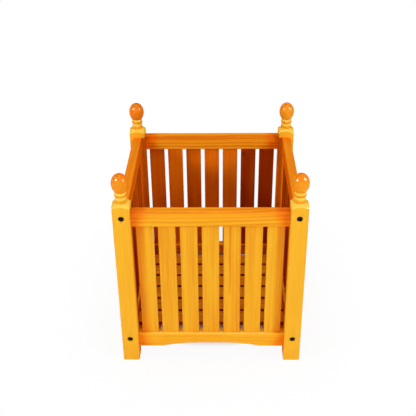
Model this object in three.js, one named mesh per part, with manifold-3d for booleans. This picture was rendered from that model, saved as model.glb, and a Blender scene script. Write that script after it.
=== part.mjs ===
// Versailles planter: four slatted panels between four corner posts with turned ball finials, and a
// slatted floor. Millimetres, +Z up, the front at -Y, the origin on the ground in the middle.
import * as THREE from "three";
import { mergeVertices } from "three/addons/utils/BufferGeometryUtils.js";
import Module from "manifold-3d";

// Driving dimensions.
const planterWidth = 450; // over the post faces, both ways
const fitGap = 0.3; // left between any two pieces

const postSide = 41;
const postEdgeRadius = 2.5;
const postFootBevel = 1.5;

// The turned end of a post, from the top rail up.
const shoulderAboveRail = 23;
const shoulderDrop = 10; // from the lower bead down to the post's corners
const waistRadius = 12; // under each bead
const lowerBeadHeight = 13.5;
const lowerBeadRadius = 13.9;
const upperBeadHeight = 12.5;
const upperBeadRadius = 14.5;
const beadCrest = 0.58; // an exponent: the smaller it is, the lower on a bead its crest stands
const ballNeckRadius = 13;
const ballRadius = 19.6;
const ballLowerHeight = 20; // from the upper bead to the ball's widest place
const ballUpperHeight = 24.5; // from there to the top

const topRailTop = 436.5;
const bottomRailBottom = 39;
const railThickness = 23;
const railHeight = 40;
const railEdgeRadius = 2;
const archInset = 58; // from a post to where the arch starts
const archRise = 10.8;
const archFoot = 14; // how far the arch curls before it climbs
const archCurl = 26; // and before it flattens into the crown

const slatsPerPanel = 7;
const slatWidth = 41;
const slatThickness = 10.5;
const slatHousing = 6; // how deep a slat's end sits in its rail, above the bottom rail's screws
const boardEdgeRadius = 1.5; // of the panel slats and every board of the floor

const tenonThickness = 11;
const tenonHeight = 30;
const tenonLength = 12; // front and back rails, glued
const stubTenonLength = 6; // side rails, screwed

const screwDiameter = 6;
const screwLength = 70; // under the head
const screwHeadDiameter = 13;
const screwHeadHeight = 4;
const screwSocketAcross = 5; // across the flats
const screwSocketDepth = 2.5;
const counterboreDiameter = 14.5;
const counterboreDepth = 6;
const topScrewDrop = 14.5; // from the top of a top rail down to its screws
const bottomScrewDrop = 11; // the same in a bottom rail

const floorDrop = 10.2; // from the top of a bottom rail down to the floor
const floorInset = 37; // from the front and back rails to the first and last floor slats
const floorSlatCount = 6;
const floorSlatWidth = 45;
const floorSlatThickness = 10.5;
const floorSlatEndRoom = 2; // between a floor slat's end and the side rail
const cleatWidth = 18;
const cleatHeight = 18;
const cleatInset = 14; // from a post to the cleat's end
const bearerWidth = 26;
const bearerHeight = 18;
const bearerInset = 15; // between a cleat and the bearer beside it

// Flats that stand for curves.
const roundSteps = 24; // round a turned post end
const boreSteps = 16; // round a screw or its hole
const edgeSteps = 1; // half of those on an eased edge
const archSteps = 10; // along each half of an arch
const shoulderSteps = 4;
const beadSteps = 5;
const ballSteps = 6; // up each half of the ball

// Places along a line, evenly spaced about 0.
function evenly(count, pitch) {
  return Array.from({ length: count }, (_, i) => (i - (count - 1) / 2) * pitch);
}

// Worked out from the driving dimensions.
const postAxis = (planterWidth - postSide) / 2;
const clearSpan = 2 * postAxis - postSide; // between the posts
const railLength = clearSpan - 2 * fitGap;
const railInnerFace = postAxis - railThickness / 2; // from the middle of the planter
const topRailBottom = topRailTop - railHeight;
const bottomRailTop = bottomRailBottom + railHeight;
const archHalfWidth = clearSpan / 2 - archInset;
const slatGap = (clearSpan - slatsPerPanel * slatWidth) / (slatsPerPanel + 1);
const slatPlaces = evenly(slatsPerPanel, slatWidth + slatGap);
const slatBottom = bottomRailTop - slatHousing + fitGap;
const slatTop = topRailBottom + slatHousing - fitGap;
const topScrewHeight = topRailTop - topScrewDrop;
const bottomScrewHeight = bottomRailTop - bottomScrewDrop;
const screwSeat = planterWidth / 2 - counterboreDepth; // under the head, from the middle
const floorTop = bottomRailTop - floorDrop;
const floorDepth = 2 * (railInnerFace - floorInset);
const floorSlatPitch = (floorDepth - floorSlatWidth) / (floorSlatCount - 1);
const underFloor = floorTop - floorSlatThickness - fitGap; // the top of the cleats and bearers
const cleatAxis = railInnerFace - fitGap - cleatWidth / 2;
const bearerAxis = cleatAxis - cleatWidth / 2 - bearerInset - bearerWidth / 2;

const wood = (color, roughness) => new THREE.MeshStandardMaterial({ color, roughness, metalness: 0 });
const postWood = wood(0xf7a92c, 0.35);
const railWood = wood(0xf0951f, 0.35);
const slatWood = wood(0xf5a52b, 0.38);
const floorWood = wood(0xd98a2b, 0.5);
const blackSteel = new THREE.MeshStandardMaterial({ color: 0x14110f, roughness: 0.45, metalness: 0.7 });

const wasm = await Module();
wasm.setup();

// A closed three.js geometry as a solid that can be joined and cut.
function solid(geometry) {
  const bare = geometry.index ? geometry.toNonIndexed() : geometry.clone();
  bare.deleteAttribute("normal");
  bare.deleteAttribute("uv");
  const merged = mergeVertices(bare, 1e-4);
  return new wasm.Manifold(
    new wasm.Mesh({
      numProp: 3,
      vertProperties: merged.attributes.position.array,
      triVerts: new Uint32Array(merged.index.array),
    }),
  );
}

// A solid's surface as a three.js geometry.
function surface(body) {
  const mesh = body.getMesh();
  const geometry = new THREE.BufferGeometry();
  geometry.setAttribute("position", new THREE.BufferAttribute(mesh.vertProperties, 3));
  geometry.setIndex(new THREE.BufferAttribute(mesh.triVerts, 1));
  geometry.computeVertexNormals();
  return geometry;
}

// A box by its size and its centre.
function box(size, centre) {
  return solid(new THREE.BoxGeometry(...size).translate(...centre));
}

// A round rod along Y at a height, by its diameter and its two ends.
function rodAlongY(diameter, from, to, height) {
  const rod = new THREE.CylinderGeometry(diameter / 2, diameter / 2, Math.abs(to - from), boreSteps);
  return rod.translate(0, (from + to) / 2, height);
}

// A rectangle with round corners about the middle of the plane.
function easedRectangle(width, height, radius) {
  const w = width / 2;
  const h = height / 2;
  const outline = new THREE.Shape();
  outline.moveTo(w, radius - h);
  outline.absarc(w - radius, h - radius, radius, 0, Math.PI / 2);
  outline.absarc(radius - w, h - radius, radius, Math.PI / 2, Math.PI);
  outline.absarc(radius - w, radius - h, radius, Math.PI, 1.5 * Math.PI);
  outline.absarc(w - radius, radius - h, radius, 1.5 * Math.PI, 2 * Math.PI);
  return outline;
}

// A board with its long edges eased, standing on the ground along Z.
function uprightBoard(width, thickness, length, edgeRadius) {
  const outline = easedRectangle(width, thickness, edgeRadius);
  const settings = { depth: length, bevelEnabled: false, curveSegments: edgeSteps };
  return new THREE.ExtrudeGeometry(outline, settings);
}

// The same board lying along X, its middle at the origin: its width goes along Y and its height along Z.
function lyingBoard(width, height, length, edgeRadius) {
  const upright = uprightBoard(width, height, length, edgeRadius).translate(0, 0, -length / 2);
  return upright.rotateX(Math.PI / 2).rotateZ(Math.PI / 2);
}

// Half of the turned outline as radius and height, from the axis under the ground to the axis at the
// ball's top. Below the shoulder it is clear of the square post.
function turnedOutline() {
  const corner = (postSide / 2 - postEdgeRadius) * Math.SQRT2 + postEdgeRadius;
  const shoulderTop = topRailTop + shoulderAboveRail;
  const betweenBeads = shoulderTop + lowerBeadHeight;
  const ballMiddle = betweenBeads + upperBeadHeight + ballLowerHeight;
  const shoulder = new THREE.QuadraticBezierCurve(
    new THREE.Vector2(corner, shoulderTop - shoulderDrop),
    new THREE.Vector2(postSide / 2, shoulderTop - shoulderDrop / 4),
    new THREE.Vector2(waistRadius, shoulderTop),
  );
  const points = [
    new THREE.Vector2(0, -postSide),
    new THREE.Vector2(postSide, -postSide),
    new THREE.Vector2(postSide, shoulderTop - 2 * shoulderDrop),
    ...shoulder.getPoints(shoulderSteps),
  ];
  // A bead swells quickly out of the waist under it and slopes slowly in again above.
  const bead = (bottom, height, radius) => {
    for (let i = 1; i <= beadSteps; i++) {
      const t = i / beadSteps;
      const swollen = waistRadius + (radius - waistRadius) * Math.sin(Math.PI * t ** beadCrest);
      points.push(new THREE.Vector2(swollen, bottom + height * t));
    }
  };
  bead(shoulderTop, lowerBeadHeight, lowerBeadRadius);
  bead(betweenBeads, upperBeadHeight, upperBeadRadius);
  points.pop(); // the ball starts where the upper bead would end
  // The ball is an egg: a longer ellipse below its widest place, cut off at the neck.
  const neckAngle = Math.acos(ballNeckRadius / ballRadius);
  const lowerAxis = ballLowerHeight / Math.sin(neckAngle);
  const ballPoint = (angle, axis) => {
    const radius = ballRadius * Math.cos(angle);
    points.push(new THREE.Vector2(radius, ballMiddle + axis * Math.sin(angle)));
  };
  for (let i = 0; i < ballSteps; i++) ballPoint(neckAngle * (i / ballSteps - 1), lowerAxis);
  for (let i = 0; i < ballSteps; i++) ballPoint((Math.PI / 2) * (i / ballSteps), ballUpperHeight);
  points.push(new THREE.Vector2(0, ballMiddle + ballUpperHeight));
  return points;
}

// A corner post about its own axis, at the corner of the planter that toX and toY, each 1 or -1, point
// to. Its mortises face the other way, and its screws go in from the face at toY.
function post(toX, toY) {
  const outline = easedRectangle(postSide, postSide, postEdgeRadius);
  const stick = new THREE.ExtrudeGeometry(outline, {
    depth: topRailTop + 4 * postSide,
    bevelThickness: postFootBevel,
    bevelSize: postFootBevel,
    bevelOffset: -postFootBevel,
    bevelSegments: 1,
    curveSegments: edgeSteps,
  });
  const turned = new THREE.LatheGeometry(turnedOutline(), roundSteps).rotateX(Math.PI / 2);
  let body = solid(stick.translate(0, 0, postFootBevel)).intersect(solid(turned));
  const face = postSide / 2;
  const mortiseWidth = tenonThickness + 2 * fitGap;
  const mortiseHeight = tenonHeight + 2 * fitGap;
  const deep = 2 * (tenonLength + fitGap);
  const shallow = 2 * (stubTenonLength + fitGap);
  for (const top of [topRailTop, bottomRailTop]) {
    const middle = top - railHeight / 2;
    body = body.subtract(box([deep, mortiseWidth, mortiseHeight], [-toX * face, 0, middle]));
    body = body.subtract(box([mortiseWidth, shallow, mortiseHeight], [0, -toY * face, middle]));
  }
  for (const height of [topScrewHeight, bottomScrewHeight]) {
    const counterboreEnd = toY * (face - counterboreDepth);
    const hole = rodAlongY(screwDiameter + 2 * fitGap, -postSide, postSide, height);
    const mouth = rodAlongY(counterboreDiameter, counterboreEnd, toY * postSide, height);
    body = body.subtract(solid(hole)).subtract(solid(mouth));
  }
  return surface(body);
}

// The face of a bottom rail: straight above, arched below. It is longer than the rail by extra at
// each end.
function archedFace(extra) {
  const end = railLength / 2 + extra;
  const outline = new THREE.Shape();
  outline.moveTo(-end, 0);
  outline.lineTo(-archHalfWidth, 0);
  outline.bezierCurveTo(archFoot - archHalfWidth, 0, archCurl - archHalfWidth, archRise, 0, archRise);
  outline.bezierCurveTo(archHalfWidth - archCurl, archRise, archHalfWidth - archFoot, 0, archHalfWidth, 0);
  outline.lineTo(end, 0);
  outline.lineTo(end, railHeight);
  outline.lineTo(-end, railHeight);
  outline.closePath();
  return outline;
}

// A rail without its joints, along X with its bottom at 0.
function plainRail() {
  const blank = lyingBoard(railThickness, railHeight, railLength, railEdgeRadius);
  return solid(blank.translate(0, 0, railHeight / 2));
}

// The same with an arch, its ends cut square past the blank's eased ones.
function archedRail() {
  const blank = new THREE.ExtrudeGeometry(archedFace(2 * railEdgeRadius), {
    depth: railThickness - 2 * railEdgeRadius,
    bevelThickness: railEdgeRadius,
    bevelSize: railEdgeRadius,
    bevelOffset: -railEdgeRadius,
    bevelSegments: 2 * edgeSteps,
    curveSegments: archSteps,
  });
  blank.translate(0, 0, railEdgeRadius - railThickness / 2).rotateX(Math.PI / 2);
  return solid(blank).intersect(box([railLength, 2 * railThickness, 4 * railHeight], [0, 0, 0]));
}

// A finished rail along X with its bottom at 0 and its outer face at -Y. The slats enter its edge at
// slatEdge. Its ends are drilled for the connecting screws at screwHeight, or not at all if that is null.
function rail(blank, slatEdge, tenon, screwHeight) {
  const tenonRoot = tenon + fitGap; // each tenon's block goes as far into the rail as it stands out
  const tenonSize = [2 * tenonRoot, tenonThickness, tenonHeight];
  let body = blank;
  for (const end of [-1, 1]) body = body.add(box(tenonSize, [end * (railLength / 2), 0, railHeight / 2]));
  const housing = [slatWidth + 2 * fitGap, slatThickness + 2 * fitGap, 2 * slatHousing];
  for (const x of slatPlaces) body = body.subtract(box(housing, [x, 0, slatEdge]));
  if (screwHeight !== null) {
    const innerEnd = screwSeat - screwLength - fitGap;
    for (const end of [-1, 1]) {
      const bore = rodAlongY(screwDiameter + 2 * fitGap, end * innerEnd, end * planterWidth, 0);
      body = body.subtract(solid(bore.rotateZ(Math.PI / 2).translate(0, 0, screwHeight)));
    }
  }
  return surface(body);
}

// A connecting screw along +Y with the underside of its head at the origin.
function connectingScrew() {
  const r = screwDiameter / 2;
  const head = screwHeadDiameter / 2;
  const rim = screwHeadHeight / 4;
  const outline = [
    [0, -screwHeadHeight],
    [head - rim, -screwHeadHeight],
    [head, rim - screwHeadHeight],
    [head, 0],
    [r, 0],
    [r, screwLength - screwDiameter],
    [0, screwLength],
  ];
  const turned = new THREE.LatheGeometry(outline.map((p) => new THREE.Vector2(...p)), boreSteps);
  const socketRadius = screwSocketAcross / Math.sqrt(3);
  const socket = new THREE.CylinderGeometry(socketRadius, socketRadius, 2 * screwSocketDepth, 6);
  return surface(solid(turned).subtract(solid(socket.translate(0, -screwHeadHeight, 0))));
}

const planter = new THREE.Group();
const depths = [["front", -1], ["back", 1]];
const sides = [["left", -1], ["right", 1]];

function add(name, geometry, material, place, parent = planter) {
  const mesh = new THREE.Mesh(geometry, material.clone());
  mesh.name = name;
  mesh.position.set(...place);
  parent.add(mesh);
  return mesh;
}

// Four corner posts.
for (const [depth, toY] of depths)
  for (const [side, toX] of sides)
    add(`${depth}_${side}_post`, post(toX, toY), postWood, [toX * postAxis, toY * postAxis, 0]);

// Four panels, each built as the front one and turned to its side.
const panels = [
  { side: "front", turn: 0, screwed: false },
  { side: "right", turn: Math.PI / 2, screwed: true },
  { side: "back", turn: Math.PI, screwed: false },
  { side: "left", turn: -Math.PI / 2, screwed: true },
];
for (const { side, turn, screwed } of panels) {
  const panel = new THREE.Group();
  panel.rotation.z = turn;
  planter.add(panel);
  const tenon = screwed ? stubTenonLength : tenonLength;
  const topScrew = screwed ? topScrewHeight - topRailBottom : null;
  const bottomScrew = screwed ? bottomScrewHeight - bottomRailBottom : null;
  const topRail = rail(plainRail(), 0, tenon, topScrew);
  const bottomRail = rail(archedRail(), railHeight, tenon, bottomScrew);
  add(`${side}_top_rail`, topRail, railWood, [0, -postAxis, topRailBottom], panel);
  add(`${side}_bottom_rail`, bottomRail, railWood, [0, -postAxis, bottomRailBottom], panel);
  slatPlaces.forEach((x, i) => {
    const slat = uprightBoard(slatWidth, slatThickness, slatTop - slatBottom, boardEdgeRadius);
    add(`${side}_slat_${i + 1}`, slat, slatWood, [x, -postAxis, slatBottom], panel);
  });
}

// The screws that draw the side rails into the posts, two to a post.
for (const [depth, toY] of depths)
  for (const [side, toX] of sides)
    for (const [level, height] of [["top", topScrewHeight], ["bottom", bottomScrewHeight]]) {
      const place = [toX * postAxis, toY * screwSeat, height];
      const screw = add(`${depth}_${side}_${level}_screw`, connectingScrew(), blackSteel, place);
      if (toY > 0) screw.rotation.z = Math.PI;
    }

// The floor: slats from side to side on two cleats, held together from below by two bearers.
evenly(floorSlatCount, floorSlatPitch).forEach((y, i) => {
  const length = 2 * (railInnerFace - floorSlatEndRoom);
  const slat = lyingBoard(floorSlatWidth, floorSlatThickness, length, boardEdgeRadius);
  add(`floor_slat_${i + 1}`, slat, floorWood, [0, y, floorTop - floorSlatThickness / 2]);
});
for (const [side, toX] of sides) {
  const cleat = lyingBoard(cleatWidth, cleatHeight, clearSpan - 2 * cleatInset, boardEdgeRadius);
  const cleatPlace = [toX * cleatAxis, 0, underFloor - cleatHeight / 2];
  add(`${side}_floor_cleat`, cleat.rotateZ(Math.PI / 2), floorWood, cleatPlace);
  const bearer = lyingBoard(bearerWidth, bearerHeight, floorDepth, boardEdgeRadius);
  const bearerPlace = [toX * bearerAxis, 0, underFloor - bearerHeight / 2];
  add(`${side}_floor_bearer`, bearer.rotateZ(Math.PI / 2), floorWood, bearerPlace);
}

export default planter;
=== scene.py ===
import math
import random
from functools import partial

import bmesh
import bpy
import numpy as np
from mathutils import Matrix, Vector


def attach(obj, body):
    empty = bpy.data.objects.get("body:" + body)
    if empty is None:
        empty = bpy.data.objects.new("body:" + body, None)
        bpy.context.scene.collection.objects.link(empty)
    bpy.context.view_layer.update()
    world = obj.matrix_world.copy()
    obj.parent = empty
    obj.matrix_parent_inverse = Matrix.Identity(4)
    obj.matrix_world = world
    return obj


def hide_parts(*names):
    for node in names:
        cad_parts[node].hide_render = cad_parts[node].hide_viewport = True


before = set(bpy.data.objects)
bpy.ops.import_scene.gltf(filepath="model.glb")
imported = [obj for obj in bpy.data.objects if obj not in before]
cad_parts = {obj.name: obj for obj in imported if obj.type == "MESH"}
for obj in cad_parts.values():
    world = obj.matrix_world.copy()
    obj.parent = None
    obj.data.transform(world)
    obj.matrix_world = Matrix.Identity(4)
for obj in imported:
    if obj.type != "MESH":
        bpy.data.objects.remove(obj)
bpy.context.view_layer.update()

# ---------------------------------------------------------------------------------------------------
# The camera stands in front of the planter and above it, so that it looks over the front rail at the
# inner face of the back panel. Its place and lens come from the corners seen in the photograph.

camera_place = (0.01967, -1.68201, 1.30797)
yaw, pitch, roll = (math.radians(turn) for turn in (-0.965, 30.41, -0.554))
forward = Vector((math.sin(yaw) * math.cos(pitch), math.cos(yaw) * math.cos(pitch), -math.sin(pitch)))
level = Vector((math.cos(yaw), -math.sin(yaw), 0))
upright = level.cross(forward)
rightward = level * math.cos(roll) + upright * math.sin(roll)
upward = upright * math.cos(roll) - level * math.sin(roll)
camera = bpy.data.objects.new("camera", bpy.data.cameras.new("camera"))
camera.data.sensor_width = 36
camera.data.lens = 64.606
camera.matrix_world = Matrix.Translation(camera_place) @ Matrix(
    (rightward, upward, -forward)).transposed().to_4x4()
bpy.context.scene.collection.objects.link(camera)
bpy.context.scene.camera = camera

# ---------------------------------------------------------------------------------------------------
# Corner posts: four sticks of pine, 41 mm square with eased edges. The upper end of each is turned on
# a lathe to a sloping shoulder, two beads and a ball. Two counterbored holes in the front or back face
# take the screws that pull in the side rails.

mm = 0.001
post_side = 41 * mm
post_edge = 2.5 * mm
post_axis = (450 * mm - post_side) / 2
shoulder_top = 459.5 * mm
shoulder_foot = 449.5 * mm
waist_radius = 12 * mm
bead_tops = (473 * mm, 485.5 * mm)
bead_crests = (13.9 * mm, 14.5 * mm)
bead_lean = 0.58  # an exponent: the smaller it is, the lower on a bead its crest stands
ball_bottom = bead_tops[1]
ball_middle = 505.5 * mm
ball_top = 530 * mm
ball_radius = 19.6 * mm
ball_neck = 13 * mm
foot_bevel = 1.5 * mm
stain_top = 437 * mm  # where the painted shade inside the box ends
screw_heights = {"top": 422 * mm, "bottom": 68 * mm}
counterbore_radius = 7.25 * mm
counterbore_depth = 6 * mm
screw_hole_radius = 3.3 * mm
pinpoint = 0.2 * mm  # how near its axis a turned outline starts and ends


def skin(name, rings):
    """A closed mesh over rings of points, all with as many points, with a flat cap on each end."""
    count = len(rings[0])
    points = [point for ring in rings for point in ring]
    faces = [[row + i, row + (i + 1) % count, row + count + (i + 1) % count, row + count + i]
             for row in range(0, len(points) - count, count) for i in range(count)]
    faces += [list(range(count)), list(range(len(points) - count, len(points)))]
    mesh = bpy.data.meshes.new(name)
    mesh.from_pydata(points, [], faces)
    work = bmesh.new()
    work.from_mesh(mesh)
    bmesh.ops.remove_doubles(work, verts=work.verts, dist=1e-7)
    bmesh.ops.recalc_face_normals(work, faces=work.faces)
    work.to_mesh(mesh)
    work.free()
    return mesh


def turned(name, outline, sides=48):
    """What a lathe makes about Z of an outline of radius and height pairs."""
    angles = [2 * math.pi * i / sides for i in range(sides)]
    return skin(name, [[(r * math.cos(a), r * math.sin(a), h) for a in angles] for r, h in outline])


def cut(mesh, cutters):
    """The mesh with the solids of the cutters taken out of it."""
    whole = bmesh.new()
    for cutter in cutters:
        whole.from_mesh(cutter)
    tool = bpy.data.objects.new("cutter", bpy.data.meshes.new("cutter"))
    whole.to_mesh(tool.data)
    whole.free()
    body = bpy.data.objects.new("body", mesh)
    for thing in (tool, body):
        bpy.context.scene.collection.objects.link(thing)
    change = body.modifiers.new("cut", "BOOLEAN")
    change.operation, change.solver, change.object = "DIFFERENCE", "EXACT", tool
    scene_now = bpy.context.evaluated_depsgraph_get()
    left_over = bpy.data.meshes.new_from_object(body.evaluated_get(scene_now), depsgraph=scene_now)
    for thing in (tool, body):
        bpy.data.objects.remove(thing)
    return left_over


def square_reach(angle, half, edge):
    """How far a square stick with round edges reaches from its axis at an angle."""
    off = abs((angle + math.pi / 4) % (math.pi / 2) - math.pi / 4)
    if half * math.tan(off) <= half - edge:
        return half / math.cos(off)
    corner, aside = (half - edge) * math.sqrt(2), math.pi / 4 - off
    return corner * math.cos(aside) + math.sqrt(edge ** 2 - (corner * math.sin(aside)) ** 2)


def softly_least(a, b, blend):
    """The smaller of two lengths, eased where they come near each other."""
    mix = max(blend - abs(a - b), 0) / blend
    return min(a, b) - mix * mix * blend / 4


def post_rings():
    """The rings of a post about its own axis, from the foot to the top of the ball."""
    corner_turn = math.atan((post_side / 2 - post_edge) / (post_side / 2))
    quarter = [corner_turn * i / 11 for i in range(-11, 12)]
    quarter += [corner_turn + (math.pi / 2 - 2 * corner_turn) * i / 8 for i in range(1, 8)]
    quarter = sorted(quarter + [-corner_turn * 0.985, corner_turn * 0.985])
    angles = [math.pi / 2 * side + a for side in range(4) for a in quarter]
    rows = []  # radius of the turned outline, height, and how far the square is drawn in
    for i in range(4):
        rise = math.pi / 2 * i / 3
        rows.append((1, foot_bevel * (1 - math.cos(rise)), foot_bevel * (1 - math.sin(rise))))
    heights = [2.2 * mm, 30 * mm, 120 * mm, 210 * mm, 300 * mm, 390 * mm]
    heights += [stain_top - 1 * mm, stain_top + 0.5 * mm, 446 * mm]
    rows += [(1, height, 0) for height in heights]
    corner = (post_side / 2 - post_edge) * math.sqrt(2) + post_edge
    rows.append((corner + 0.6 * mm, shoulder_foot - 0.8 * mm, 0))
    for i in range(27):
        t = i / 26
        bend = [(1 - t) ** 2, 2 * t * (1 - t), t ** 2]
        radius = sum(k * r for k, r in zip(bend, (corner, post_side / 2, waist_radius)))
        height = sum(k * h for k, h in zip(bend, (shoulder_foot, shoulder_top - 2.75 * mm, shoulder_top)))
        rows.append((radius, height, 0))
    # Each bead swells quickly out of what is under it and slopes slowly in again above.
    bottom = shoulder_top
    for top, crest in zip(bead_tops, bead_crests):
        for i in range(1, 17):
            swell = math.sin(math.pi * (i / 16) ** bead_lean)
            rows.append((waist_radius + (crest - waist_radius) * swell, bottom + (top - bottom) * i / 16, 0))
        bottom = top
    neck_turn = math.acos(ball_neck / ball_radius)
    lower_axis = (ball_middle - ball_bottom) / math.sin(neck_turn)
    for i in range(20):
        a = neck_turn * (i / 20 - 1)
        rows.append((ball_radius * math.cos(a), ball_middle + lower_axis * math.sin(a), 0))
    for i in range(25):
        a = math.pi / 2 * i / 25
        rows.append((ball_radius * math.cos(a), ball_middle + (ball_top - ball_middle) * math.sin(a), 0))
    rows.append((0.3 * mm, ball_top, 0))
    rings = []
    for radius, height, inset in rows:
        ring = []
        for a in angles:
            square = square_reach(a, post_side / 2 - inset, post_edge)
            reach = softly_least(square, radius, 0.9 * mm) if radius < 1 else square
            ring.append((reach * math.cos(a), reach * math.sin(a), height))
        rings.append(ring)
    return rings


def fill(tree, node, inputs):
    """Joins the inputs of a node to other nodes, or sets them."""
    for key, value in dict(inputs).items():
        if isinstance(value, bpy.types.NodeSocket):
            tree.links.new(value, node.inputs[key])
        else:
            node.inputs[key].default_value = value


def add_node(tree, kind, inputs=(), **settings):
    """A new node of a tree, its settings made and its inputs joined or set."""
    made = tree.nodes.new(kind)
    for name, value in settings.items():
        setattr(made, name, value)
    fill(tree, made, inputs)
    return made


def number_of(tree, operation, *values, clamp=False):
    """What a step of arithmetic gives."""
    return add_node(tree, "ShaderNodeMath", enumerate(values), operation=operation,
                    use_clamp=clamp).outputs[0]


def vector_of(tree, operation, *values):
    """What a step of arithmetic with vectors gives."""
    made = add_node(tree, "ShaderNodeVectorMath", enumerate(values), operation=operation)
    return made.outputs["Value" if operation in ("LENGTH", "DOT_PRODUCT") else "Vector"]


def range_of(tree, value, low, high, start=0.0, end=1.0, kind="LINEAR"):
    """A value brought from one range to another, and held at its ends."""
    return add_node(tree, "ShaderNodeMapRange", {0: value, 1: low, 2: high, 3: start, 4: end},
                    interpolation_type=kind).outputs[0]


def sockets(tree, in_out, kind, *names):
    """Gives a group of nodes inputs or outputs of one kind."""
    for name in names:
        tree.interface.new_socket(name, in_out=in_out, socket_type=f"NodeSocket{kind}")


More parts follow.
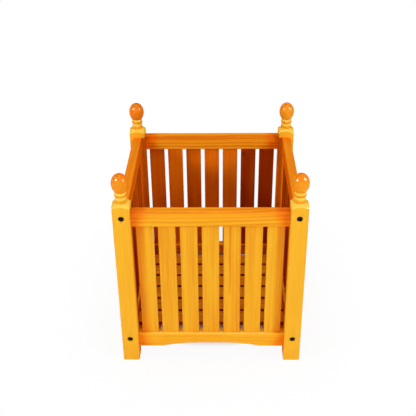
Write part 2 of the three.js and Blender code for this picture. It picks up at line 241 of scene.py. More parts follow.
def pine_grain():
    """Varnished pine as a shader group. Every board carries its own places in metres, across it, through it
    and along it, its half sizes, where the middle of the tree lay, how much stain and painted shade it has,
    how that leans to one edge, how strongly its figure shows, and the place and radius of a knot."""
    tree = bpy.data.node_groups.new("pine grain", "ShaderNodeTree")
    sockets(tree, "INPUT", "Color", "Bare wood", "Spring wood", "Summer wood", "Stained wood", "Knot wood")
    sockets(tree, "INPUT", "Float", "Ring width", "Ring strength", "Streak strength", "Inside stain",
            "Edge stain", "End stain", "Outside spared", "Coats")
    sockets(tree, "OUTPUT", "Color", "Color")
    sockets(tree, "OUTPUT", "Float", "Roughness", "Height", "Varnish")
    given = tree.nodes.new("NodeGroupInput").outputs
    sums, vector = partial(number_of, tree), partial(vector_of, tree)
    plus, minus, times = (partial(sums, operation) for operation in ("ADD", "SUBTRACT", "MULTIPLY"))
    ramp = partial(range_of, tree, kind="SMOOTHSTEP")

    def read(name):
        return add_node(tree, "ShaderNodeAttribute", attribute_name=name).outputs["Vector"]

    def parts(value):
        return add_node(tree, "ShaderNodeSeparateXYZ", {0: value}).outputs

    def together(x, y, z=0.0):
        return add_node(tree, "ShaderNodeCombineXYZ", {0: x, 1: y, 2: z}).outputs[0]

    def cloud(stretch, detail=2.0, output=0):
        return add_node(tree, "ShaderNodeTexNoise",
                        {"Vector": vector("MULTIPLY", place, stretch), "Scale": 1.0, "Detail": detail},
                        noise_dimensions="3D").outputs[output]

    def swing(value, size, middle=0.5):
        return times(minus(value, middle), size)

    def drift(stretch, detail, size):
        loose = vector("SUBTRACT", cloud(stretch, detail, 1), (0.5, 0.5, 0.5))
        return vector("MULTIPLY", loose, (size, size, 0))

    def per_ring(kind, value, **inputs):
        return add_node(tree, kind, {"W": value, **inputs}, noise_dimensions="1D").outputs[0]

    def blend(share, a, b, kind="MIX"):
        return add_node(tree, "ShaderNodeMix", {0: share, 6: a, 7: b}, data_type="RGBA",
                        blend_type=kind).outputs[2]

    board, half, pith, knot, look = (read(name) for name in ("board", "half", "pith", "knot", "look"))
    across, _, along = parts(board)
    edgewise, inward, endwise = parts(vector("DIVIDE", board, half))
    off_middle = sums("ABSOLUTE", edgewise)
    stain, lean, figure = parts(look)
    place = vector("ADD", board, pith)
    # The knot, its ragged outline, and how the rings swing round it.
    knot_across, knot_along, knot_radius = parts(knot)
    aside = together(minus(across, knot_across), times(minus(along, knot_along), 0.62))
    from_knot = vector("LENGTH", vector("ADD", aside, drift((300, 300, 200), 1.0, 0.0012)))
    radii_off = sums("DIVIDE", from_knot, plus(knot_radius, 0.0001))
    some_knot = ramp(knot_radius, 0.0002, 0.0004)
    near_knot = times(some_knot, ramp(radii_off, 3.4, 0.6))
    in_knot = times(some_knot, ramp(radii_off, 1.12, 0.82))
    # Year rings about the pith, which wanders along the board and runs out of it at a slope of its own.
    slope = swing(sums("FRACT", times(parts(pith)[2], 3.7)), 0.06)
    middle = vector("ADD", vector("ADD", place, drift((5, 5, 3.2), 2.5, 0.017)),
                    together(0.0, times(along, slope)))
    swung = plus(vector("LENGTH", vector("MULTIPLY", middle, (1, 1, 0))), times(near_knot, knot_radius))
    ring = sums("DIVIDE", swung, given["Ring width"])
    ring = plus(ring, times(per_ring("ShaderNodeTexNoise", ring, Scale=0.45, Detail=1.0), 2.4))
    in_ring = sums("FRACT", ring)
    summer = times(ramp(in_ring, 0.2, 0.86), ramp(in_ring, 1.0, 0.9))
    each_year = per_ring("ShaderNodeTexWhiteNoise", sums("FLOOR", ring))
    summer = times(summer, ramp(each_year, 0.0, 1.0, 0.3, 1.0))
    # The figure: rings and long bands, with fine fibre, dark streaks and mottling over them.
    fibre = cloud((1100, 1100, 16))
    streak = ramp(cloud((520, 520, 34), 1.0), 0.62, 0.75)
    bands = swing(cloud((95, 95, 3.5)), given["Streak strength"])
    dark = times(plus(times(summer, given["Ring strength"]), bands), figure)
    dark = plus(dark, swing(fibre, 0.7))
    dark = plus(dark, times(streak, 0.14))
    dark = plus(dark, swing(cloud((26, 26, 5), 3.0), 0.7, 0.44), clamp=True)
    # Stain and painted shade: how much the board has and how that leans to one edge, more where stain soaks
    # into the ends and edges, and a painted shade along the ends where posts and rails shade the board. Its
    # outer face may be spared, and its inner face and its edges get painted shade.
    from_end = times(minus(1.0, sums("ABSOLUTE", endwise)), parts(half)[2])
    soaked = times(ramp(from_end, 0.045, 0.0), given["End stain"])
    soaked = plus(soaked, ramp(from_end, 0.0006, 0.0, 0.0, 0.45))
    soaked = plus(soaked, ramp(off_middle, 0.62, 1.02, 0.0, 0.08))
    took = plus(stain, times(ramp(edgewise, -1.0, 1.0, -1.0, 1.0), lean))
    spared = ramp(inward, 0.2, -0.6, 0.0, given["Outside spared"])
    took = plus(times(took, minus(1.0, spared)), soaked)
    took = plus(took, swing(cloud((16, 16, 4)), 0.3))
    took = plus(took, times(ramp(inward, 0.8, 1.0), given["Inside stain"]))
    took = plus(took, times(ramp(off_middle, 0.95, 1.0), given["Edge stain"]))
    color = blend(dark, given["Spring wood"], given["Summer wood"])
    # Below 0 the colour goes to lighter bare wood: real bare wood, painted highlights on the beads and the
    # bottom rails' upper edges, and a partly painted sheen on the shoulders.
    color = blend(ramp(took, 0.0, -1.0), color, given["Bare wood"])
    color = blend(ramp(took, 0.0, 1.0), color, blend(1.0, color, given["Stained wood"], "MULTIPLY"))
    # Past 1 it goes on to brown: a painted deep shade, reached mostly by the painted shade terms.
    color = blend(ramp(took, 1.0, 2.0), color, blend(1.0, color, (0.46, 0.24, 0.1, 1), "MULTIPLY"))
    knot_rings = ramp(sums("FRACT", times(from_knot, 900.0)), 0.0, 1.0, 0.55, 1.0)
    color = blend(times(near_knot, 0.28), color, given["Knot wood"])
    color = blend(times(in_knot, knot_rings), color, given["Knot wood"])
    rough = plus(0.36, swing(cloud((90, 90, 40)), 0.16))
    rough = plus(rough, times(dark, 0.05))
    high = plus(times(summer, 0.35), times(fibre, 0.3))
    high = plus(high, times(cloud((210, 210, 90), 1.0), 0.8))
    # The faces towards the inside, which carry painted shade, get hardly any varnish.
    bare_inside = times(ramp(inward, 0.94, 1.0), times(given["Inside stain"], 9.0, clamp=True))
    varnish = times(minus(1.0, bare_inside), given["Coats"])
    add_node(tree, "NodeGroupOutput", {"Color": color, "Roughness": rough, "Height": high,
                                       "Varnish": varnish})
    return tree


def pine(name, spring, summer, satin=0.2, **grain_values):
    """A pine finish: honey stain under varnish, the more satin the less it mirrors."""
    wood = bpy.data.materials.new(name)
    wood.use_nodes = True
    tree = wood.node_tree
    grain = add_node(tree, "ShaderNodeGroup", node_tree=grain_group)
    tints = {"Bare wood": bare_wood, "Spring wood": spring, "Summer wood": summer,
             "Stained wood": stained_wood, "Knot wood": knot_wood}
    fill(tree, grain, {key: (*tint, 1) for key, tint in tints.items()})
    fill(tree, grain, {key.replace("_", " ").capitalize(): value for key, value in grain_values.items()})
    relief = add_node(tree, "ShaderNodeBump", {"Strength": 0.35, "Distance": 0.00012,
                                               "Height": grain.outputs["Height"]})
    # Thin varnish gleams, but it never turns to a mirror where the wood is seen edge on.
    edge_on = add_node(tree, "ShaderNodeLayerWeight", {"Blend": 0.5}).outputs["Facing"]
    gleam = range_of(tree, edge_on, 0.35, 0.9, 1.0, 0.0, "SMOOTHSTEP")
    fill(tree, tree.nodes["Principled BSDF"], {
        "Base Color": grain.outputs["Color"], "Roughness": grain.outputs["Roughness"],
        "Normal": relief.outputs[0], "Specular IOR Level": 0.0, "Coat Roughness": satin,
        "Coat Weight": number_of(tree, "MULTIPLY", grain.outputs["Varnish"], gleam)})
    return wood


def mark(mesh, places, half, pith, look, knot=(0, 0, 0)):
    """Writes on a mesh what the pine grain reads of it, each as one vector or one for every point."""
    for name, value in (("half", half), ("pith", pith), ("look", look), ("knot", knot), ("board", places)):
        written = mesh.attributes.new(name, "FLOAT_VECTOR", "POINT")
        values = np.broadcast_to(np.asarray(value, np.float32), (len(mesh.vertices), 3))
        written.data.foreach_set("vector", values.ravel())


def places_of(mesh):
    """The places of a mesh's points, one to a row."""
    places = np.empty(len(mesh.vertices) * 3, np.float32)
    mesh.vertices.foreach_get("co", places)
    return places.reshape(-1, 3)


def piece_of(name, mesh, finish, nodes):
    """The mesh as a piece of the planter that stands for these nodes."""
    mesh.materials.clear()
    mesh.materials.append(finish)
    mesh.shade_smooth()
    mesh.set_sharp_from_angle(angle=math.radians(38))
    piece = bpy.data.objects.new(name, mesh)
    bpy.context.scene.collection.objects.link(piece)
    if nodes:
        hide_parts(*nodes)
    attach(piece, "root")
    return piece


# The tints for bare wood and for stain serve also for painted highlight and painted shade.
bare_wood = (1.0, 0.7, 0.1)
stained_wood = (0.95, 0.47, 0.2)
knot_wood = (0.13, 0.022, 0.004)
grain_group = pine_grain()
post_pine = pine("post pine", (0.94, 0.47, 0.022), (0.88, 0.36, 0.012), coats=0.2, ring_width=0.0085,
                 ring_strength=0.4, streak_strength=0.5, end_stain=0.12)

plain_post = post_rings()
bore = [(pinpoint, -3 * mm), (screw_hole_radius, -3 * mm),
        (screw_hole_radius, post_side - counterbore_depth),
        (counterbore_radius, post_side - counterbore_depth), (counterbore_radius, post_side - 0.7 * mm),
        (counterbore_radius + 0.25 * mm, post_side - 0.25 * mm),
        (counterbore_radius + 0.8 * mm, post_side + 0.05 * mm),
        (counterbore_radius + 0.8 * mm, post_side + 3 * mm), (pinpoint, post_side + 3 * mm)]
# Where the middle of the tree lay from each post's own, and its stain, its lean and its figure.
post_piths = {"front_left": (0.062, 0.031, 0.11), "front_right": (-0.071, 0.026, 0.83),
              "back_left": (0.055, -0.048, 1.42), "back_right": (-0.05, -0.06, 2.2)}
post_looks = {"front_left": (0.04, 0.03, 1.0), "front_right": (0.0, -0.02, 0.8),
              "back_left": (0.12, 0.05, 1.2), "back_right": (0.06, 0.0, 1.0)}
ball_stains = {"front_left": 0.58, "front_right": 0.48, "back_left": 0.85, "back_right": 0.4}
# The stain and painted light on the turned part by height in mm. The shoulder is lighter, partly from its
# end grain and partly as a painted sheen; the upper face of each bead is painted lighter as a highlight and
# the crease under it darker as shade; the ball darkens a little towards its top.
turned_stains = ((458.5, -0.7), (460.5, 0.6), (466, 0.0), (469.5, -0.9), (472.5, -0.8), (474, 0.9),
                 (479, 0.1), (482, -0.95), (484.6, -0.7), (486, 0.0), (512, 0.0), (527, 0.25))
turned_heights, turned_stains = np.array(turned_stains).T
# How far out from its inner corner each post gets painted shade, as a share of half its side.
stain_reach = {"front_left": 0.5, "front_right": 0.5, "back_left": -0.35, "back_right": 0.3}
for depth, to_y in (("front", -1), ("back", 1)):
    for side, to_x in (("left", -1), ("right", 1)):
        corner = f"{depth}_{side}"
        cutters = []
        for height in screw_heights.values():
            drill = turned("drill", bore, 48)
            drill.transform(Matrix.Translation((0, 0, height))
                            @ Matrix.Rotation(math.radians(90 * -to_y), 4, "X")
                            @ Matrix.Translation((0, 0, -post_side / 2)))
            cutters.append(drill)
        stick = cut(skin(f"{corner}_post_turned", plain_post), cutters)
        own = places_of(stick)
        height = own[:, 2].copy()
        on_ball = height > ball_bottom
        look = np.tile(post_looks[corner], (len(own), 1))
        look[:, 0] += ball_stains[corner] * on_ball
        look[:, 2] *= np.where(on_ball, 0.5, 1)
        # The turned part's bands begin where the slope does, lower at the corners than on the flats.
        slope_edge = 452.5 * mm - 0.55 * (np.hypot(own[:, 0], own[:, 1]) - post_side / 2)
        bared = np.interp(height - slope_edge, (-0.8 * mm, 0.8 * mm), (0, 1))
        look[:, 0] += np.interp(height, turned_heights * mm, turned_stains) * bared
        # Painted shade in the seam under the ball.
        look[:, 0] += np.interp(np.abs(height - ball_bottom), (0, 0.5 * mm, 1.2 * mm), (0.9, 0.8, 0))
        # Inside the box, past the rails' inner faces, the posts are painted darker as painted shade.
        inner_x, inner_y = -to_x * own[:, 0] / (post_side / 2), -to_y * own[:, 1] / (post_side / 2)
        reach = stain_reach[corner]
        indoors = np.interp(np.minimum(inner_x, inner_y), (-0.6, -0.4, reach - 0.1, reach + 0.1),
                            (0, 0.4, 0.4, 1.3))
        look[:, 0] += indoors * (np.maximum(inner_x, inner_y) > 0.9) * (height < stain_top)
        own[:, 2] -= ball_top / 2
        mark(stick, own, (post_side / 2, post_side / 2, ball_top / 2), post_piths[corner], look)
        stick.transform(Matrix.Translation((to_x * post_axis, to_y * post_axis, 0)))
        piece_of(f"{corner}_post_turned", stick, post_pine, [f"{corner}_post"])

# ---------------------------------------------------------------------------------------------------
# Rails: eight planed pine rails, 23 x 40 mm, between the posts. Their edges are eased, the slats' ends
# sit in housings cut in their edges, and the lower edge of each bottom rail is sawn to a flat arch.

rail_length = 367.4 * mm
rail_thick = 23 * mm
rail_height = 40 * mm
rail_edge = 2 * mm
rail_end_bevel = 0.45 * mm
screw_hole_depth = 35 * mm
rail_bottoms = {"top": 396.5 * mm, "bottom": 39 * mm}
arch_half = 126 * mm
arch_rise = 10.8 * mm
arch_bends = (112 * mm, 100 * mm)  # how far out the curve's two inner control points are
slat_width = 41 * mm
slat_thick = 10.5 * mm
slat_low, slat_high = 73.3 * mm, 402.2 * mm
slat_places = [(i - 3) * 51.125 * mm for i in range(7)]
fit = 0.3 * mm  # the play of a slat's end in its housing


def eased_ring(wide, tall, edge, lift=0.0):
    """Points round the section of a board as depth and height, with its lower edge lifted. Two points
    beside each rounded edge keep the flats flat."""
    points = []
    for to_w, to_t, start in ((1, 1, 0), (-1, 1, 90), (-1, -1, 180), (1, -1, 270)):
        centre = (to_w * (wide / 2 - edge), to_t * (tall / 2 - edge))
        turns = [math.radians(start + 90 * i / 5) for i in range(6)]
        corner = [(centre[0] + edge * math.cos(a), centre[1] + edge * math.sin(a)) for a in turns]
        first, last = Vector(corner[0]), Vector(corner[-1])
        back = Vector((math.sin(turns[0]), -math.cos(turns[0]))) * 0.6 * mm
        on = Vector((-math.sin(turns[-1]), math.cos(turns[-1]))) * 0.6 * mm
        points += [tuple(first + back), *corner, tuple(last + on)]
    return [(w, t + (lift if t < 0 else 0)) for w, t in points]


def arch(turn):
    """A place on half of the arch, from its foot at 0 to its crown at 1, as distance and rise."""
    share = [(1 - turn) ** 3, 3 * turn * (1 - turn) ** 2, 3 * turn ** 2 * (1 - turn), turn ** 3]
    reach = sum(k * r for k, r in zip(share, (arch_half, *arch_bends, 0)))
    return reach, arch_rise * (share[2] + share[3])


def rail_mesh(name, arched):
    """A rail along X about its own middle, its outer face at -Y."""
    half = rail_length / 2
    stations = [(half, 0, rail_end_bevel), (half - rail_end_bevel, 0, 0), (half - 1.1 * mm, 0, 0)]
    if arched:
        stations += [(arch_half + 2 * mm, 0, 0)]
        stations += [(*arch(i / 36), 0) for i in range(37)]
        stations = [(-x, lift, inset) for x, lift, inset in stations[:-1]] + stations[::-1]
    else:
        stations = [(-x, lift, inset) for x, lift, inset in stations] + stations[::-1]
    rings = []
    for x, lift, inset in stations:
        ring = eased_ring(rail_thick - 2 * inset, rail_height - 2 * inset, rail_edge, lift)
        rings.append([(x, depth, height) for depth, height in ring])
    return skin(name, rings)


def block(size, centre):
    """A plain cutter box."""
    work = bmesh.new()
    bmesh.ops.create_cube(work, size=1, matrix=Matrix.LocRotScale(centre, None, size))
    mesh = bpy.data.meshes.new("block")
    work.to_mesh(mesh)
    work.free()
    return mesh


rail_tones = {"spring": (0.96, 0.44, 0.017), "summer": (0.8, 0.24, 0.007), "satin": 0.42, "coats": 0.12,
              "ring_width": 0.0098, "ring_strength": 0.9, "streak_strength": 1.5}
# Along the rails' ends the end stain and shade is mostly painted shade cast by the posts.
rail_pine = pine("rail pine", **rail_tones, inside_stain=0.15, end_stain=0.85)
side_rail_pine = pine("side rail pine", **rail_tones, inside_stain=0.6, end_stain=0.3)
# The same of each rail as of each post.
rail_piths = {"front_top": (0.052, 0.040, 0.30), "front_bottom": (-0.050, 0.030, 0.9),
              "back_top": (0.064, -0.026, 1.7), "back_bottom": (0.045, 0.03, 2.3),
              "left_top": (0.085, 0.006, 3.1), "left_bottom": (-0.06, 0.03, 3.9),
              "right_top": (0.08, -0.004, 4.4), "right_bottom": (0.05, 0.046, 5.2)}
# Partly painted light: the back bottom rail's heavy stain is painted shade, the side top rails' stain and
# its lean to their upper edges darken their lit tops as painted shade, and the front bottom rail's lean to a
# lighter upper edge is a painted highlight.
rail_looks = {"front_top": (0.22, 0.22, 0.9), "front_bottom": (0.04, -0.14, 0.35),
              "back_top": (0.25, 0.15, 1.5), "back_bottom": (0.75, 0.05, 1.0),
              "left_top": (0.38, 0.15, 1.0), "left_bottom": (0.16, 0.0, 1.2),
              "right_top": (0.38, 0.15, 1.0), "right_bottom": (0.12, 0.0, 0.8)}
panel_turns = {"front": 0, "right": 90, "back": 180, "left": -90}
for side, turn in panel_turns.items():
    for level_name, bottom in rail_bottoms.items():
        middle = bottom + rail_height / 2
        plain = rail_mesh(f"{side}_{level_name}_rail_planed", level_name == "bottom")
        slat_end = (slat_high + fit if level_name == "top" else slat_low - fit) - middle
        mouth = -(rail_height / 2 + 2 * mm) if level_name == "top" else rail_height / 2 + 2 * mm
        cutters = [block((slat_width + 2 * fit, slat_thick + 2 * fit, abs(mouth - slat_end)),
                         (x, 0, (mouth + slat_end) / 2)) for x in slat_places]
        if side in ("left", "right"):
            for end in (-1, 1):
                rod = turned("rod", [(pinpoint, 0), (screw_hole_radius, 0), (screw_hole_radius, 45 * mm),
                                     (pinpoint, 45 * mm)], 32)
                start = rail_length / 2 - screw_hole_depth
                rod.transform(Matrix.Translation((end * start, 0, screw_heights[level_name] - middle))
                              @ Matrix.Rotation(math.radians(90 * end), 4, "Y"))
                cutters.append(rod)
        wood = cut(plain, cutters)
        own = places_of(wood)
        key = f"{side}_{level_name}"
        look = np.tile(rail_looks[key], (len(own), 1))
        if level_name == "bottom":
            # The upper edge of a bottom rail is painted lighter: a painted highlight where its ledge faces
            # up to the light.
            look[:, 0] -= np.interp(own[:, 2] / (rail_height / 2), (0.88, 0.99), (0, 0.6))
        mark(wood, own[:, [2, 1, 0]], (rail_height / 2, rail_thick / 2, rail_length / 2), rail_piths[key],
             look)
        wood.transform(Matrix.Rotation(math.radians(turn), 4, "Z")
                       @ Matrix.Translation((0, -post_axis, middle)))
        finish = side_rail_pine if side in ("left", "right") else rail_pine
        piece_of(f"{side}_{level_name}_rail_planed", wood, finish,
                 [f"{side}_{level_name}_rail"])

# ---------------------------------------------------------------------------------------------------
# Panel slats: seven upright pine boards to a side, 41 x 10.5 mm with eased edges. Their ends stand in the
# rails' housings. They come from different trees, so no two have the same stain, and some carry painted
# shade as well.


def boards_tree():
    """Geometry Nodes that lay a board with eased edges on every point of a mesh."""
    tree = bpy.data.node_groups.new("eased boards", "GeometryNodeTree")
    sockets(tree, "INPUT", "Geometry", "Geometry")
    sockets(tree, "INPUT", "Float", "Width", "Thickness", "Length", "Edge radius")
    sockets(tree, "INPUT", "Material", "Finish")
    sockets(tree, "OUTPUT", "Geometry", "Geometry")
    given = tree.nodes.new("NodeGroupInput").outputs
    vector = partial(vector_of, tree)

    def spread(value):
        return add_node(tree, "ShaderNodeCombineXYZ", {0: value, 1: value, 2: value}).outputs[0]

    sizes = add_node(tree, "ShaderNodeCombineXYZ", {0: given["Width"], 1: given["Thickness"],
                                                    2: given["Length"]}).outputs[0]
    half = vector("MULTIPLY", sizes, (0.5, 0.5, 0.5))
    radius = spread(given["Edge radius"])
    cube = add_node(tree, "GeometryNodeMeshCube", {"Size": (2, 2, 2), "Vertices X": 8, "Vertices Y": 8,
                                                   "Vertices Z": 8}).outputs["Mesh"]
    here = add_node(tree, "GeometryNodeInputPosition").outputs[0]
    # Of the eight rows of points across each face, three stand on each rounded edge and one beside it.
    steps = vector("MULTIPLY", vector("SUBTRACT", (1, 1, 1), vector("ABSOLUTE", here)), (3.5, 3.5, 3.5))
    bent = vector("SUBTRACT", (0.67, 0.67, 0.67), vector("MULTIPLY", steps, (0.084, 0.084, 0.084)))
    inset = vector("MULTIPLY", vector("MULTIPLY", steps, bent), radius)
    square = vector("MULTIPLY", vector("SIGN", here), vector("SUBTRACT", half, inset))
    core = vector("SUBTRACT", half, radius)
    kept = vector("MAXIMUM", vector("MINIMUM", square, core), vector("MULTIPLY", core, (-1, -1, -1)))
    out = vector("MULTIPLY", vector("NORMALIZE", vector("SUBTRACT", square, kept)), radius)
    board = add_node(tree, "GeometryNodeSetPosition", {"Geometry": cube,
                                                       "Position": vector("ADD", kept, out)}).outputs[0]
    for name, value in (("board", here), ("half", half)):
        board = add_node(tree, "GeometryNodeStoreNamedAttribute",
                         {"Geometry": board, "Name": name, "Value": value},
                         data_type="FLOAT_VECTOR", domain="POINT").outputs[0]
    turn = add_node(tree, "GeometryNodeInputNamedAttribute", {"Name": "turn"}, data_type="FLOAT_VECTOR")
    turn = add_node(tree, "FunctionNodeEulerToRotation", {0: turn.outputs[0]}).outputs[0]
    laid = add_node(tree, "GeometryNodeInstanceOnPoints", {"Points": given["Geometry"],
                                                           "Instance": board, "Rotation": turn})
    made = add_node(tree, "GeometryNodeRealizeInstances", {0: laid.outputs[0]}).outputs[0]
    made = add_node(tree, "GeometryNodeSetMaterial", {"Geometry": made, "Material": given["Finish"]})
    add_node(tree, "NodeGroupOutput", {0: made.outputs[0]})
    return tree


def grown(name, tree, points, carried, inputs):
    """The plain mesh that a tree of Geometry Nodes makes on points that carry vectors by name."""
    seed = bpy.data.objects.new(name, bpy.data.meshes.new(name))
    seed.data.from_pydata([tuple(p) for p in points], [], [])
    for key, values in carried.items():
        written = seed.data.attributes.new(key, "FLOAT_VECTOR", "POINT")
        written.data.foreach_set("vector", np.asarray(values, np.float32).ravel())
    bpy.context.scene.collection.objects.link(seed)
    nodes = seed.modifiers.new("grown", "NODES")
    nodes.node_group = tree
    for socket in tree.interface.items_tree:
        if socket.in_out == "INPUT" and socket.name in inputs:
            nodes[socket.identifier] = inputs[socket.name]
    scene_now = bpy.context.evaluated_depsgraph_get()
    mesh = bpy.data.meshes.new_from_object(seed.evaluated_get(scene_now), depsgraph=scene_now)
    bpy.data.objects.remove(seed)
    return mesh


def laid_boards(name, rows, sizes, finish, nodes):
    """A piece of like boards. Each row is a board's place, its turn, its pith, its look and its knot."""
    keys = ("turn", "pith", "look", "knot")
    carried = {key: [row[i + 1] for row in rows] for i, key in enumerate(keys)}
    mesh = grown(name, eased_boards, [row[0] for row in rows], carried,
                 {"Width": sizes[0], "Thickness": sizes[1], "Length": sizes[2], "Edge radius": sizes[3],
                  "Finish": finish})
    return piece_of(name, mesh, finish, nodes)


eased_boards = boards_tree()
slat_tones = {"spring": (0.91, 0.44, 0.018), "summer": (0.82, 0.28, 0.01), "satin": 0.3, "coats": 0.14,
              "ring_width": 0.0046, "ring_strength": 0.75, "streak_strength": 2.0, "end_stain": 0.2}
slat_pine = pine("slat pine", **slat_tones, inside_stain=0.7, edge_stain=0.5)
side_slat_pine = pine("side slat pine", **slat_tones, inside_stain=1.5, edge_stain=1.0)
# The outer faces at the back are out of the camera's view. They are spared most of the back slats' painted
# shade, so they are paler than the inner ones.
back_slat_pine = pine("back slat pine", **slat_tones, inside_stain=0.7, edge_stain=0.5, outside_spared=0.75)
dice = random.Random(11)
# How much stain and painted shade each slat has, and how it leans to the right edge, seen from outside. The
# heavy values of the back slats and part of those of the right side's slats are painted shade for the box's
# shaded inside, and the leans of the outermost front slats are painted shade from the posts beside them.
slat_stains = {
    "front": [(0.2, -0.45), (0.03, -0.04), (0.0, 0.02), (0.0, 0.0), (0.12, 0.0), (0.02, 0.04),
              (0.14, 0.36)],
    "right": [(0.34, 0.0), (0.23, 0.08), (0.38, 0.0), (0.26, -0.1), (0.2, 0.05), (0.42, 0.0), (0.28, 0.0)],
    "back": [(1.5, 0.0), (1.2, 0.15), (0.1, 0.0), (0.3, 0.0), (0.7, 0.1), (0.25, 0.0), (0.6, 0.0)],
    "left": [(0.1, 0.1), (0.2, 0.0), (0.02, 0.0), (0.12, 0.0), (0.3, -0.1), (0.05, 0.0), (0.16, 0.0)],
}
slat_length = slat_high - slat_low
for side, turn in panel_turns.items():
    facing = Matrix.Rotation(math.radians(turn), 3, "Z")
    rows = []
    for i, (stain, lean) in enumerate(slat_stains[side]):
        pith = (dice.choice((-1, 1)) * dice.uniform(0.045, 0.10), dice.uniform(0.01, 0.05),
                dice.uniform(0, 9))
        knot = (0, 0, 0)
        figure = dice.uniform(0.7, 1.2)
        if (side, i) == ("front", 4):  # sawn near the middle of the tree, so its rings are wide
            pith, figure = (0.004, 0.017, 4.2), 1.3
        if (side, i) == ("back", 1):
            knot = (0.013, 0.141, 0.0030)
        rows.append((facing @ Vector((slat_places[i], -post_axis, (slat_low + slat_high) / 2)),
                     (0, 0, math.radians(turn)), pith, (stain, lean, figure), knot))
    finish = {"front": slat_pine, "back": back_slat_pine}.get(side, side_slat_pine)
    laid_boards(f"{side}_slats", rows, (slat_width, slat_thick, slat_length, 1.5 * mm), finish,
                [f"{side}_slat_{i + 1}" for i in range(7)])

# ---------------------------------------------------------------------------------------------------
# The floor: six pine slats laid from side to side, with gaps that let water through. Two bearers hold
# them together from below, and the whole rests on two cleats screwed to the side rails.

floor_top = 68.8 * mm
floor_slat = (45 * mm, 10.5 * mm, 382 * mm, 1.5 * mm)
floor_slat_places = [(i - 2.5) * 53.4 * mm for i in range(6)]
under_floor = 58 * mm
cleat = (18 * mm, 18 * mm, 340 * mm, 1.5 * mm)
cleat_axis = 183.7 * mm
cleat_screw_places = (-130 * mm, 0, 130 * mm)
bearer = (26 * mm, 18 * mm, 312 * mm, 1.5 * mm)
bearer_axis = 146.7 * mm

# Its edge shade is painted shade in the narrow gaps between the floor slats.
floor_pine = pine("floor pine", (0.8, 0.33, 0.016), (0.6, 0.18, 0.008), coats=0.05, ring_width=0.0075,
                  ring_strength=0.7, streak_strength=1.2, inside_stain=0.0, edge_stain=2.0,
                  end_stain=0.2)
quarter_turn = math.pi / 2
rows = []
for y in floor_slat_places:
    rows.append(((0, y, floor_top - floor_slat[1] / 2), (quarter_turn, 0, quarter_turn),
                 (dice.uniform(-0.08, 0.08), dice.uniform(0.03, 0.05), dice.uniform(0, 9)),
                 (dice.uniform(0.1, 0.3), 0, dice.uniform(0.7, 1.3)), (0, 0, 0)))
laid_boards("floor_slats", rows, floor_slat, floor_pine,
            [f"floor_slat_{i + 1}" for i in range(6)])
for name, sizes, axis in (("floor_cleats", cleat, cleat_axis), ("floor_bearers", bearer, bearer_axis)):
    rows = []
    for to_x in (-1, 1):
        rows.append(((to_x * axis, 0, under_floor - sizes[1] / 2), (quarter_turn, 0, 0),
                     (dice.uniform(-0.05, 0.05), dice.uniform(0.03, 0.05), dice.uniform(0, 9)),
                     (dice.uniform(0.1, 0.4), 0, dice.uniform(0.7, 1.3)), (0, 0, 0)))
    nodes = [f"{side}_{name.removesuffix('s')}" for side in ("left", "right")]
    laid_boards(name, rows, sizes, floor_pine, nodes)

# ---------------------------------------------------------------------------------------------------
# Connecting screws: eight black steel screws with a hexagon socket in a low round head. Each sits at
# the bottom of its counterbore and runs through the post into the end grain of a side rail.

head_radius = 6.5 * mm
head_height = 4 * mm
shank_radius = 3 * mm
screw_length = 70 * mm
thread_root = 2.45 * mm
thread_start = 4 * mm
thread_pitch = 2.8 * mm
socket_reach = 5 * mm / math.sqrt(3)


def connecting_screw():
    """The screw along Z, with the underside of its head at 0 and its point upwards."""
    angles = [2 * math.pi * i / 48 for i in range(48)]

    def round_ring(radius, height):
        return [(radius * math.cos(a), radius * math.sin(a), height) for a in angles]

    def six_sided(reach, height):
        flat = [reach * math.cos(math.pi / 6) / math.cos((a + math.pi / 6) % (math.pi / 3) - math.pi / 6)
                for a in angles]
        return [(r * math.cos(a), r * math.sin(a), height) for r, a in zip(flat, angles)]

    rings = [six_sided(pinpoint, -1.2 * mm), six_sided(socket_reach, -1.5 * mm),
             six_sided(socket_reach, -head_height + 0.3 * mm), six_sided(socket_reach * 1.09, -head_height)]
    rings += [round_ring(head_radius - r * mm, h * mm - head_height) for r, h in (
        (1.5, 0), (0.8, 0.07), (0.25, 0.4), (0, 1), (0, 3.5), (0.2, 4))]
    rings += [round_ring(shank_radius + 0.3 * mm, 0), round_ring(shank_radius, 0.4 * mm)]
    for i in range(22):
        bottom = thread_start + i * thread_pitch
        rings += [round_ring(thread_root, bottom), round_ring(shank_radius, bottom + 1.2 * mm),
                  round_ring(thread_root, bottom + 2.4 * mm)]
    rings += [round_ring(2.2 * mm, screw_length - 3.5 * mm), round_ring(0.3 * mm, screw_length)]
    return skin("connecting_screw", rings)


def placed_tree():
    """Geometry Nodes that set one made thing on every point of a mesh, turned as the point says."""
    tree = bpy.data.node_groups.new("set in place", "GeometryNodeTree")
    sockets(tree, "INPUT", "Geometry", "Geometry")
    sockets(tree, "INPUT", "Object", "Thing")
    sockets(tree, "INPUT", "Material", "Finish")
    sockets(tree, "OUTPUT", "Geometry", "Geometry")
    given = tree.nodes.new("NodeGroupInput").outputs
    thing = add_node(tree, "GeometryNodeObjectInfo", {"Object": given["Thing"]}).outputs["Geometry"]
    turn = add_node(tree, "GeometryNodeInputNamedAttribute", {"Name": "turn"}, data_type="FLOAT_VECTOR")
    turn = add_node(tree, "FunctionNodeEulerToRotation", {0: turn.outputs[0]}).outputs[0]
    laid = add_node(tree, "GeometryNodeInstanceOnPoints", {"Points": given["Geometry"], "Instance": thing,
                                                           "Rotation": turn})
    made = add_node(tree, "GeometryNodeRealizeInstances", {0: laid.outputs[0]}).outputs[0]
    made = add_node(tree, "GeometryNodeSetMaterial", {"Geometry": made, "Material": given["Finish"]})
    add_node(tree, "NodeGroupOutput", {0: made.outputs[0]})
    return tree


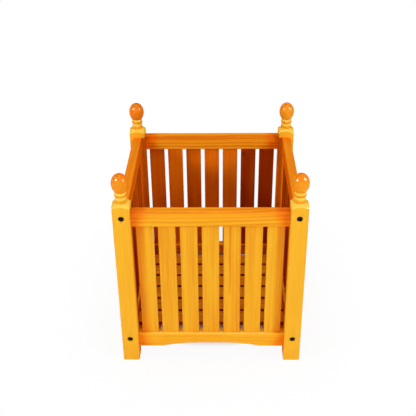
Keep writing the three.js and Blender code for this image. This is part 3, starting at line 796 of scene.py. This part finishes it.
def set_in_place(name, thing, rows, finish, nodes):
    """A piece of like things. Each row is a thing's place and its turn."""
    pattern = bpy.data.objects.new("pattern", thing)
    bpy.context.scene.collection.objects.link(pattern)
    mesh = grown(name, placed_things, [row[0] for row in rows], {"turn": [row[1] for row in rows]},
                 {"Thing": pattern, "Finish": finish})
    bpy.data.objects.remove(pattern)
    return piece_of(name, mesh, finish, nodes)


def blackened_steel():
    """Black oxide on steel, oily and a little uneven, with brown where it has worn."""
    steel = bpy.data.materials.new("blackened steel")
    steel.use_nodes = True
    tree = steel.node_tree
    place = add_node(tree, "ShaderNodeTexCoord").outputs["Object"]
    patches = add_node(tree, "ShaderNodeTexNoise", {"Vector": place, "Scale": 900.0,
                                                    "Detail": 3.0}).outputs[0]
    tints = add_node(tree, "ShaderNodeValToRGB", {0: patches})
    for i, position, tint in ((0, 0.35, (0.007, 0.0055, 0.004, 1)), (1, 0.75, (0.026, 0.017, 0.01, 1))):
        tints.color_ramp.elements[i].position = position
        tints.color_ramp.elements[i].color = tint
    relief = add_node(tree, "ShaderNodeBump", {"Strength": 0.2, "Distance": 0.00005, "Height": patches})
    fill(tree, tree.nodes["Principled BSDF"], {
        "Base Color": tints.outputs[0], "Roughness": range_of(tree, patches, 0.3, 0.7, 0.3, 0.5),
        "Normal": relief.outputs[0], "Metallic": 0.75})
    return steel


placed_things = placed_tree()
black_steel = blackened_steel()
screw_seat = 219 * mm
rows, nodes = [], []
for depth, to_y in (("front", -1), ("back", 1)):
    for side, to_x in (("left", -1), ("right", 1)):
        for level_name, height in screw_heights.items():
            twist = dice.uniform(0, math.pi / 3)
            rows.append(((to_x * post_axis, to_y * screw_seat, height),
                         (Matrix.Rotation(math.radians(90 * to_y), 3, "X")
                          @ Matrix.Rotation(twist, 3, "Z")).to_euler()))
            nodes.append(f"{depth}_{side}_{level_name}_screw")
set_in_place("connecting_screws", connecting_screw(), rows, black_steel, nodes)

# ---------------------------------------------------------------------------------------------------
# Small wood screws: blackened countersunk screws with a cross recess. Three hold each cleat to its
# side rail, and one holds each floor slat to each bearer, all driven where they don't show from above.


def wood_screw():
    """The head of the screw and the start of its shank along Z, its face at 0 and its point upwards."""
    angles = [2 * math.pi * i / 32 for i in range(32)]
    outline = ((0.2, 0.05), (3.2, 0.05), (3.6, 0.12), (3.75, 0.35), (1.9, 2.3), (1.75, 8), (0.2, 9))
    rings = [[(r * mm * math.cos(a), r * mm * math.sin(a), h * mm) for a in angles] for r, h in outline]
    head = skin("wood_screw", rings)
    return cut(head, [block((wide * mm, tall * mm, 2.4 * mm), (0, 0, 0.1 * mm))
                      for wide, tall in ((4.2, 0.9), (0.9, 4.2))])


rows = []
for to_x in (-1, 1):
    for y in cleat_screw_places:
        rows.append(((to_x * (cleat_axis - cleat[0] / 2 - 0.05 * mm), y, under_floor - cleat[1] / 2),
                     (Matrix.Rotation(math.radians(90 * to_x), 3, "Y")
                      @ Matrix.Rotation(dice.uniform(0, 1.5), 3, "Z")).to_euler()))
    for y in floor_slat_places:
        rows.append(((to_x * bearer_axis, y, under_floor - bearer[1] - 0.05 * mm),
                     (0, 0, dice.uniform(0, 1.5))))
set_in_place("wood_screws", wood_screw(), rows, black_steel, [])

# ---------------------------------------------------------------------------------------------------
# The studio: a white floor between white walls. Soft lamps stand to the left and the right of the front,
# in front, above and behind. Two more, with grids, light nothing and only gleam in the varnish.

wall_light = 0.24  # how brightly the walls light the wood, where the white they show is 1
patch_middle = (0, 0.065, 0)
patch_scale = (5.2, 4.3, 0)  # one over how far the patch of full shadow reaches across and back
washed_out = 0.92  # how much of the shadow is gone just off the patch, before it fades out farther off


def lamp(name, place, aim, wide, tall, power, spread=180, lights=True, mirrored=False):
    """A soft rectangular lamp, which lights the wood, or is mirrored in the varnish, or both. A grid on
    its front narrows the spread of its light."""
    light = bpy.data.lights.new(name, "AREA")
    light.shape, light.size, light.size_y, light.energy = "RECTANGLE", wide, tall, power
    light.spread = math.radians(spread)
    holder = bpy.data.objects.new(name, light)
    holder.location = place
    holder.rotation_euler = (Vector(aim) - Vector(place)).to_track_quat("-Z", "Y").to_euler()
    holder.visible_camera = False
    holder.visible_diffuse = lights
    holder.visible_glossy = mirrored
    bpy.context.scene.collection.objects.link(holder)


lamp("left lamp", (-1.95, -1.2, 1.42), (0, 0, 0.28), 0.4, 0.4, 23)
lamp("right lamp", (1.95, -1.15, 1.45), (0, 0, 0.28), 0.28, 0.65, 24)
lamp("front lamp", (0.0, -2.9, 0.75), (0, 0, 0.25), 2.0, 1.0, 15)
lamp("top lamp", (0.0, -0.2, 2.3), (0, 0, 0.3), 0.9, 0.9, 12)
lamp("back lamp", (0.0, 2.9, 0.75), (0, 0, 0.25), 2.0, 1.0, 26)
gleams = {"spread": 60, "lights": False, "mirrored": True}
lamp("left gleam", (-1.75, -1.0, 1.6), (0, 0, 0.48), 0.75, 0.75, 22, **gleams)
lamp("right gleam", (1.8, -0.85, 1.6), (0, 0, 0.48), 0.6, 1.1, 26, **gleams)


def looked_at(tree, *kinds):
    """1 where rays of these kinds look at a thing, and 0 where other rays gather its light."""
    rays = add_node(tree, "ShaderNodeLightPath").outputs
    seen = rays[f"Is {kinds[0]} Ray"]
    for kind in kinds[1:]:
        seen = number_of(tree, "MAXIMUM", seen, rays[f"Is {kind} Ray"])
    return seen


def white_paper():
    """Matt white paper that glows white to the camera and in reflections, so that around a round patch under
    the planter most of the shadow is washed out. In the patch it keeps its whole shadow, and its colour
    there is dark brown: a painted shadow."""
    paper = bpy.data.materials.new("white paper")
    paper.use_nodes = True
    tree = paper.node_tree
    tree.nodes.remove(tree.nodes["Principled BSDF"])
    number, vector, between = (partial(step, tree) for step in (number_of, vector_of, range_of))
    place = add_node(tree, "ShaderNodeNewGeometry").outputs["Position"]
    away = vector("ABSOLUTE", vector("MULTIPLY", vector("SUBTRACT", place, patch_middle), patch_scale))
    away = number("POWER", vector("DOT_PRODUCT", away, vector("MULTIPLY", away, away)), 1 / 3)
    off_patch = between(away, 0.86, 1.02, 0.0, washed_out)
    bright = number("ADD", off_patch, between(away, 1.32, 2.37, 0.0, 1 - washed_out))
    # In the patch the paper is painted dark brown as a painted shadow, but not in front of the middle.
    depth = add_node(tree, "ShaderNodeSeparateXYZ", {0: place}).outputs[1]
    pale = number("MAXIMUM", off_patch, between(depth, -0.09, -0.07, washed_out, 0.0))
    tint = add_node(tree, "ShaderNodeMix", {0: between(pale, 0.0, washed_out), 6: (0.16, 0.1, 0.065, 1),
                                            7: (0.9, 0.9, 0.9, 1)}, data_type="RGBA").outputs[2]
    matt = add_node(tree, "ShaderNodeBsdfDiffuse", {"Color": tint}).outputs[0]
    glow = add_node(tree, "ShaderNodeEmission", {"Color": (1, 1, 1, 1), "Strength": 1.0}).outputs[0]
    glowing = number("MULTIPLY", looked_at(tree, "Camera", "Glossy"), bright)
    shown = add_node(tree, "ShaderNodeMixShader", {0: glowing, 1: matt, 2: glow}).outputs[0]
    tree.links.new(shown, tree.nodes["Material Output"].inputs["Surface"])
    return paper


work = bmesh.new()
bmesh.ops.create_grid(work, x_segments=1, y_segments=1, size=15)
studio_floor = bpy.data.objects.new("studio_floor", bpy.data.meshes.new("studio_floor"))
work.to_mesh(studio_floor.data)
work.free()
studio_floor.data.materials.append(white_paper())
bpy.context.scene.collection.objects.link(studio_floor)

room = bpy.data.worlds.new("studio")
bpy.context.scene.world = room
room.use_nodes = True
shown = looked_at(room.node_tree, "Camera", "Glossy", "Transmission")
fill(room.node_tree, room.node_tree.nodes["Background"], {
    "Color": (1, 1, 1, 1), "Strength": range_of(room.node_tree, shown, 0.0, 1.0, wall_light, 1.0)})
bpy.context.scene.view_settings.view_transform = "Standard"
